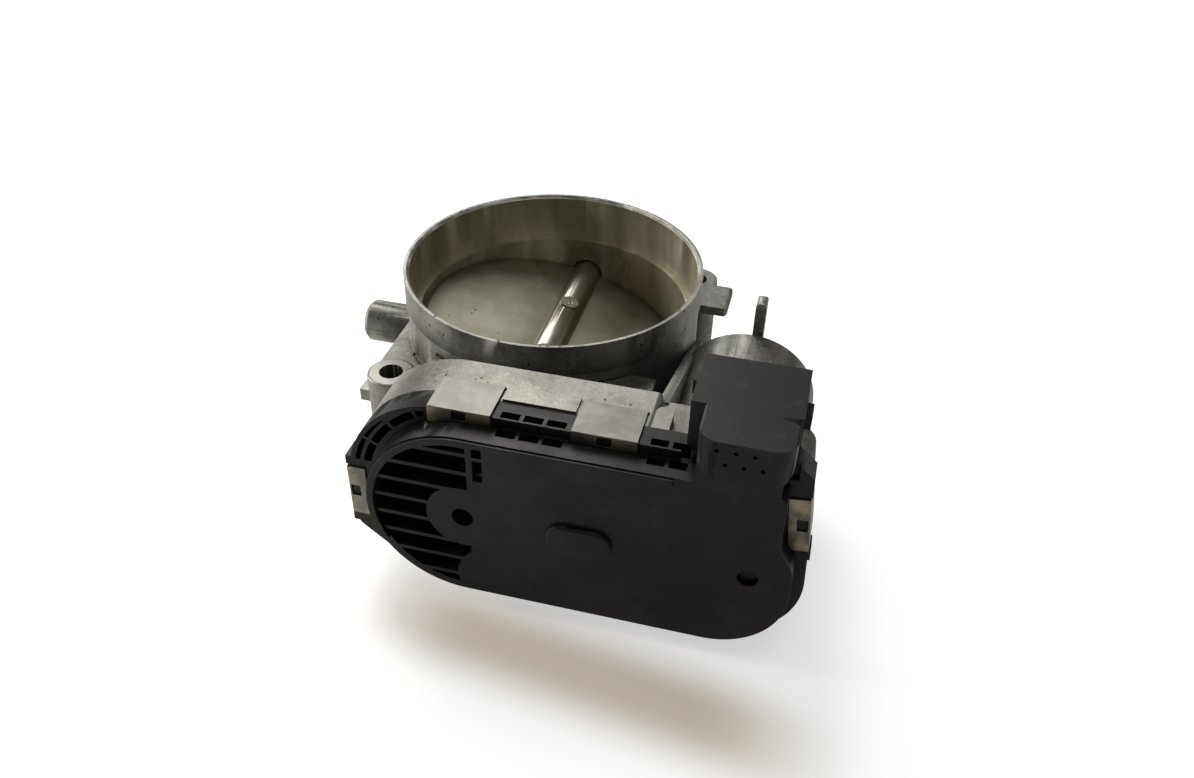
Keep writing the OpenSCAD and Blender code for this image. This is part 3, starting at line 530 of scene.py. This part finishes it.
def roundedCopy(name, facts):
    piece = bpy.data.objects.new(name + "_look", nodes[name].data.copy())
    bpy.context.scene.collection.objects.link(piece)
    bpy.ops.object.select_all(action="DESELECT")
    piece.select_set(True)
    bpy.context.view_layer.objects.active = piece
    bpy.ops.object.mode_set(mode="EDIT")
    bpy.ops.mesh.select_all(action="SELECT")
    bpy.ops.mesh.remove_doubles(threshold=meshFacts["merge"])
    bpy.ops.mesh.dissolve_limited(angle_limit=math.radians(meshFacts["dissolve"]))
    bpy.ops.mesh.select_all(action="SELECT")
    bpy.ops.mesh.normals_make_consistent(inside=False)
    bpy.ops.object.mode_set(mode="OBJECT")
    for edges in softer.get(name, []):
        soften(piece, edges)
    bevel = piece.modifiers.new("rounding", "BEVEL")
    bevel.width = facts["width"]
    bevel.segments = facts["steps"]
    bevel.limit_method = "ANGLE"
    bevel.angle_limit = math.radians(facts["angle"])
    bevel.use_clamp_overlap = True
    bevel.harden_normals = False
    bpy.ops.object.modifier_apply(modifier="rounding")
    bpy.ops.object.shade_smooth_by_angle(angle=math.radians(meshFacts["smooth"]))
    for face in piece.data.polygons:
        level = max(abs(n) for n in face.normal) > meshFacts["level"]
        if face.area > meshFacts["broad"] or (level and face.area > facts["flat"]):
            face.use_smooth = False
    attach(piece, bodyOf[name])
    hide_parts(name)
    print("rounded", name, len(piece.data.polygons))


for name, facts in rounding.items():
    roundedCopy(name, facts)
print("pieces rounded")

# camera: place in metres, angles in degrees
view = {
    "lens": 31.87,
    "sensor": 36.0,
    "place": (0.077147, -0.266477, 0.221801),
    "azimuth": 13.255,
    "elevation": 37.059,
    "roll": 1.637,
    "clip": (0.01, 50.0),
}
turn, lift, roll = [math.radians(view[key]) for key in ("azimuth", "elevation", "roll")]
backward = Vector((math.sin(turn) * math.cos(lift), -math.cos(turn) * math.cos(lift),
                   math.sin(lift)))
right = Vector((math.cos(turn), math.sin(turn), 0.0))
up = backward.cross(right)
axes = Matrix((math.cos(roll) * right + math.sin(roll) * up,
               -math.sin(roll) * right + math.cos(roll) * up, backward)).transposed()
bpy.ops.object.camera_add(location=view["place"])
camera = bpy.context.object
camera.data.lens = view["lens"]
camera.data.sensor_width = view["sensor"]
camera.data.dof.use_dof = False
camera.data.clip_start, camera.data.clip_end = view["clip"]
camera.rotation_euler = axes.to_euler()
bpy.context.scene.camera = camera

# floor
floorLook = {
    "height": -0.0002,
    "size": 6.0,
    "dark": (0.86, 0.855, 0.845),
    "light": (0.90, 0.90, 0.895),
    "shadow": (0.42, 0.36, 0.28),
    "glow": (0.25, 0.245, 0.24),         # what the room sees of the floor
    "seen": (1.0, 1.0, 1.0),             # what the camera sees
    "seenShadow": (0.45, 0.39, 0.32),
    "glowStrength": 0.55,
    "edge": (0.16, 0.093),               # slope and offset of the cover's front edge (m)
    "edgeMiddle": 0.035,
}
bpy.ops.mesh.primitive_plane_add(size=floorLook["size"],
                                 location=(0.0, 0.0, floorLook["height"]))
floor = bpy.context.object
floor.name = "floor"
ground = Material("ground")
paper = ground.mix(ground.noise(3.0, 2.0), floorLook["dark"], floorLook["light"])
isCamera = ground.node("ShaderNodeLightPath", {}, {}, "Is Camera Ray")
# a painted warm shadow under the cover's front edge, in the colour and in what the camera
# sees
slope, offset = floorLook["edge"]
across = (ground.y + ground.x * slope + offset).size()
along = (ground.x - floorLook["edgeMiddle"]).size()
shade = (1.0 - across.step(0.002, 0.020)) * (1.0 - along.step(0.030, 0.075))
seenColour = ground.mix(shade, floorLook["seen"], floorLook["seenShadow"])
ground.finish({"Base Color": ground.mix(shade * 0.6, paper, floorLook["shadow"]),
               "Roughness": 0.6, "Specular IOR Level": 0.25,
               "Emission Strength": floorLook["glowStrength"],
               "Emission Color": ground.mix(isCamera, floorLook["glow"], seenColour)})
floor.data.materials.append(ground.data)

# room and lamps
room = {"colour": (1.0, 0.985, 0.96, 1.0), "strength": 0.16}
world = bpy.data.worlds.new("room")
bpy.context.scene.world = world
world.use_nodes = True
background = world.node_tree.nodes["Background"]
background.inputs[0].default_value = room["colour"]
background.inputs[1].default_value = room["strength"]

lamps = {
    "window": {"at": (-0.35, 0.55, 0.75), "size": 0.55, "power": 6.0,
               "tint": (1.0, 0.98, 0.95)},
    "overhead": {"at": (0.15, -0.25, 0.95), "size": 0.50, "power": 1.0,
                 "tint": (1.0, 0.99, 0.97)},
    "side": {"at": (-0.85, -0.05, 0.30), "size": 0.30, "power": 4.4,
             "tint": (1.0, 0.96, 0.90)},
}
aim = Vector((0.02, -0.03, 0.03))
for name, facts in lamps.items():
    bpy.ops.object.light_add(type="AREA", location=facts["at"])
    lamp = bpy.context.object
    lamp.name = name
    lamp.data.size = facts["size"]
    lamp.data.energy = facts["power"]
    lamp.data.color = facts["tint"]
    lamp.rotation_euler = (Vector(facts["at"]) - aim).to_track_quat("Z", "Y").to_euler()
bpy.context.scene.view_settings.view_transform = "Standard"
print("camera and light placed")

bpy.context.view_layer.update()
